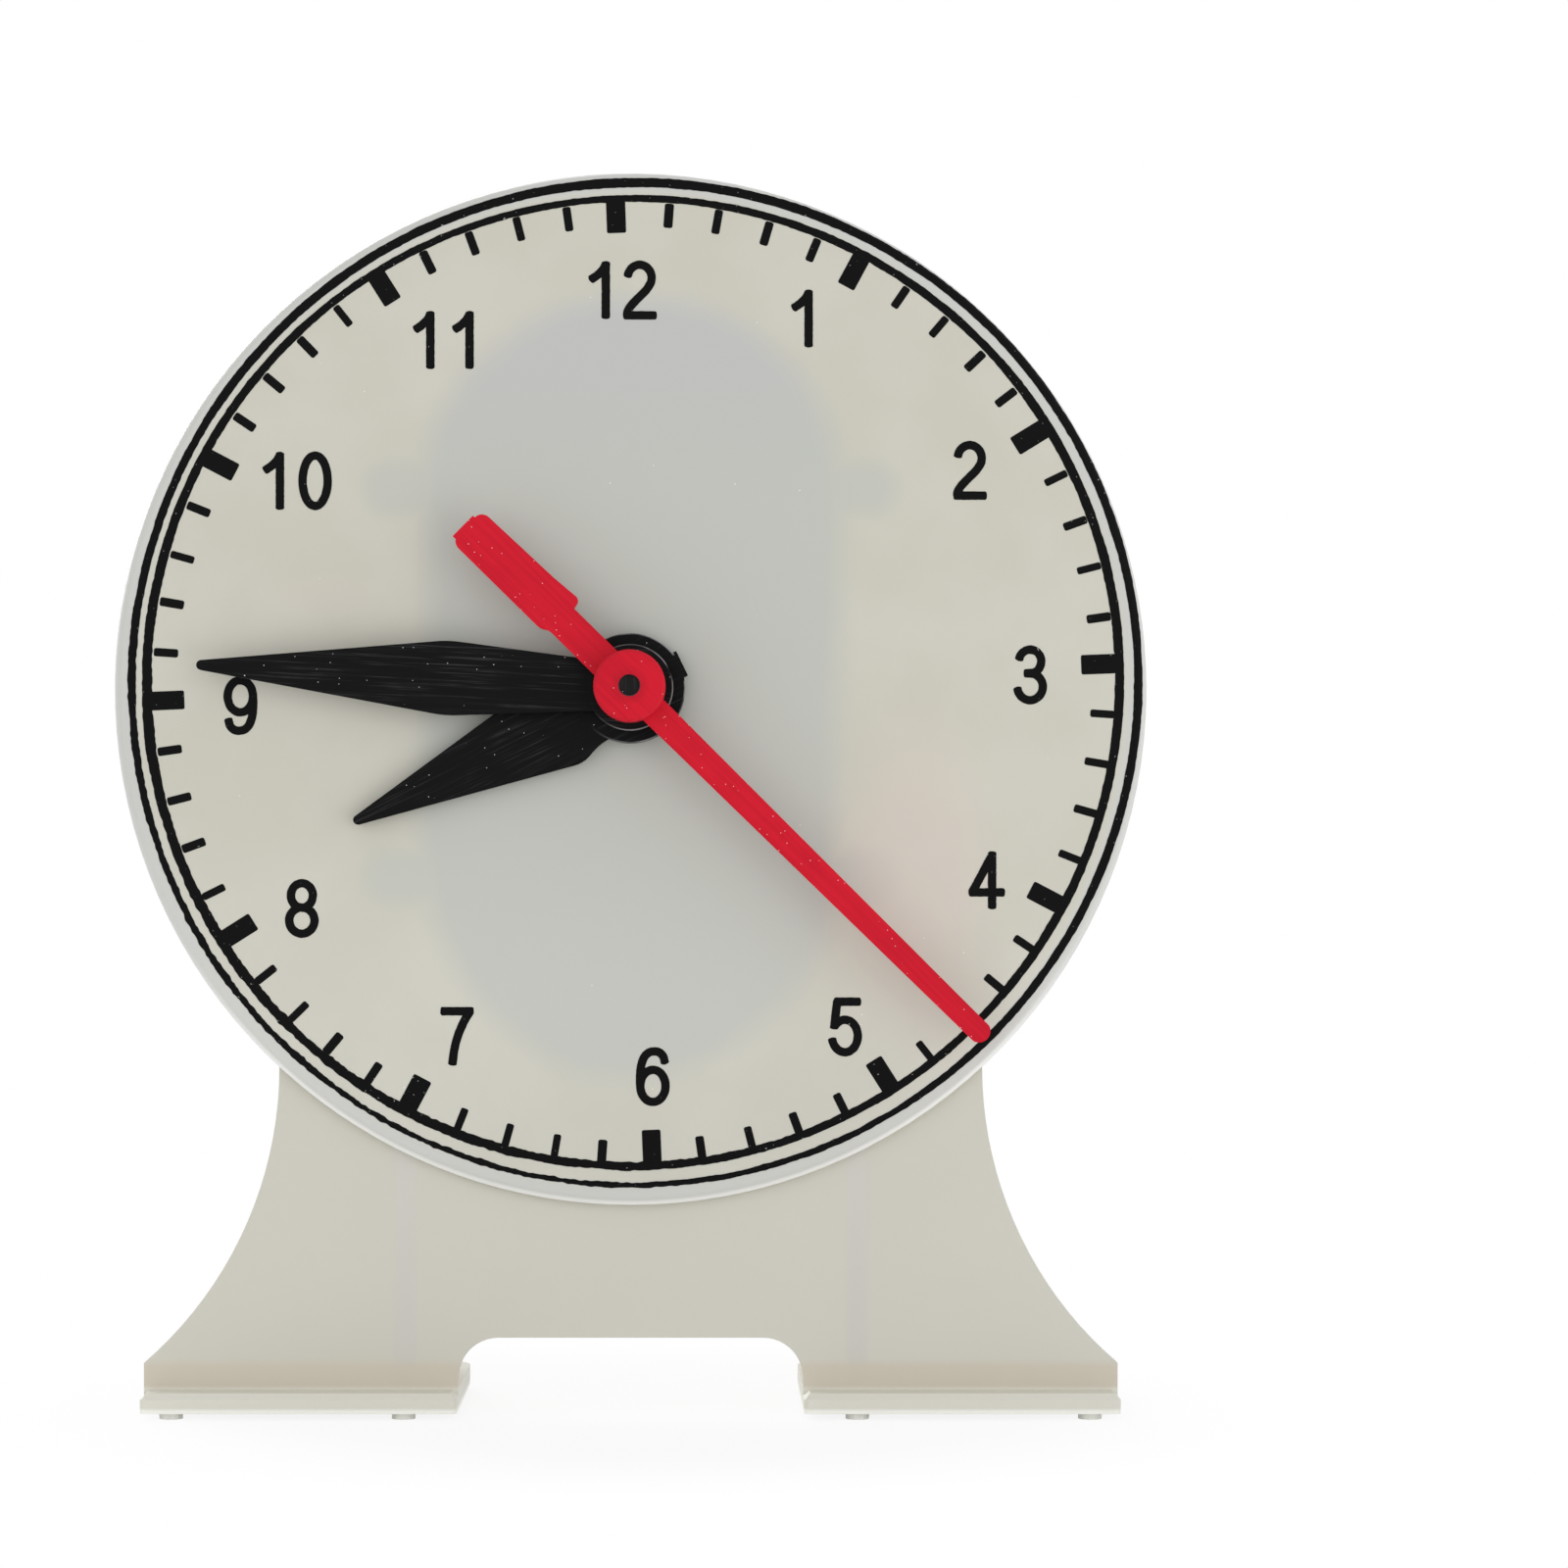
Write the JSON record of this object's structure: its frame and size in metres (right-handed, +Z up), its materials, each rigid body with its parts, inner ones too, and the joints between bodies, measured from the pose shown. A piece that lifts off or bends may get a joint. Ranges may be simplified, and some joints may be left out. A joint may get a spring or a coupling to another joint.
{
  "type": "geared teaching clock",
  "caption": "Table-top teaching clock on a splayed foot plate; a rear setting knob turns linked hour, minute and second hands through a gear train.",
  "frame": {"origin": "on the table, in the middle of the ground that the clock covers", "axes": "+Z up; -Y the way the dial faces; +X to the right of someone who faces the dial"},
  "size_m": [0.1185, 0.0416, 0.1428],
  "materials": {
    "dial_plastic": "satin off-white moulded styrene, a little translucent",
    "stand_plastic": "satin off-white moulded styrene",
    "cover_plastic": "satin off-white moulded styrene",
    "gear_plastic": "natural moulded acetal",
    "black_plastic": "glossy black moulded plastic with fine scuffs",
    "red_plastic": "glossy red moulded plastic",
    "knob_plastic": "fine-textured black moulded plastic",
    "screw_steel": "zinc-plated steel",
    "ground_steel": "ground bright steel",
    "spring_steel": "tempered spring steel"
  },
  "bodies": {
    "frame": {"dial_plate": "dial_plastic", "stand": "stand_plastic", "rear_cover": "cover_plastic", "case_screws": "screw_steel", "stand_screws": "screw_steel", "minute_wheel_pin": "ground_steel", "retaining_clip": "spring_steel", "spring_washer": "spring_steel"},
    "knob_arbor": {"third_wheel": "gear_plastic", "setting_knob": "knob_plastic", "knob_screw": "screw_steel"},
    "second_arbor": {"second_shaft": "black_plastic", "second_pinion": "gear_plastic", "second_hand": "red_plastic"},
    "minute_arbor_body": {"minute_arbor": "gear_plastic", "centre_wheel": "gear_plastic", "minute_hand": "black_plastic"},
    "hour_arbor": {"hour_wheel": "gear_plastic", "hour_hand": "black_plastic"},
    "minute_wheel_body": {"minute_wheel": "gear_plastic"}
  },
  "joints": [
    {"name": "knob_turn", "type": "hinge", "parent": "frame", "child": "knob_arbor", "pos_m": [0, -0.0092, 0.1046], "axis": [0, 1, 0], "continuous": true},
    {"name": "second_turn", "type": "hinge", "parent": "frame", "child": "second_arbor", "pos_m": [0, -0.0092, 0.0836], "axis": [0, 1, 0], "continuous": true},
    {"name": "minute_turn", "type": "hinge", "parent": "frame", "child": "minute_arbor_body", "pos_m": [0, -0.0092, 0.0836], "axis": [0, 1, 0], "continuous": true},
    {"name": "hour_turn", "type": "hinge", "parent": "frame", "child": "hour_arbor", "pos_m": [0, -0.0092, 0.0836], "axis": [0, 1, 0], "continuous": true},
    {"name": "minute_wheel_turn", "type": "hinge", "parent": "frame", "child": "minute_wheel_body", "pos_m": [0, -0.0092, 0.0626], "axis": [0, 1, 0], "continuous": true}
  ],
  "couplings": [
    {"joint": "second_turn", "follows": "knob_turn", "ratio": -8},
    {"joint": "minute_turn", "follows": "knob_turn", "ratio": -0.13333},
    {"joint": "minute_wheel_turn", "follows": "knob_turn", "ratio": 0.044444},
    {"joint": "hour_turn", "follows": "knob_turn", "ratio": -0.011111}
  ]
}
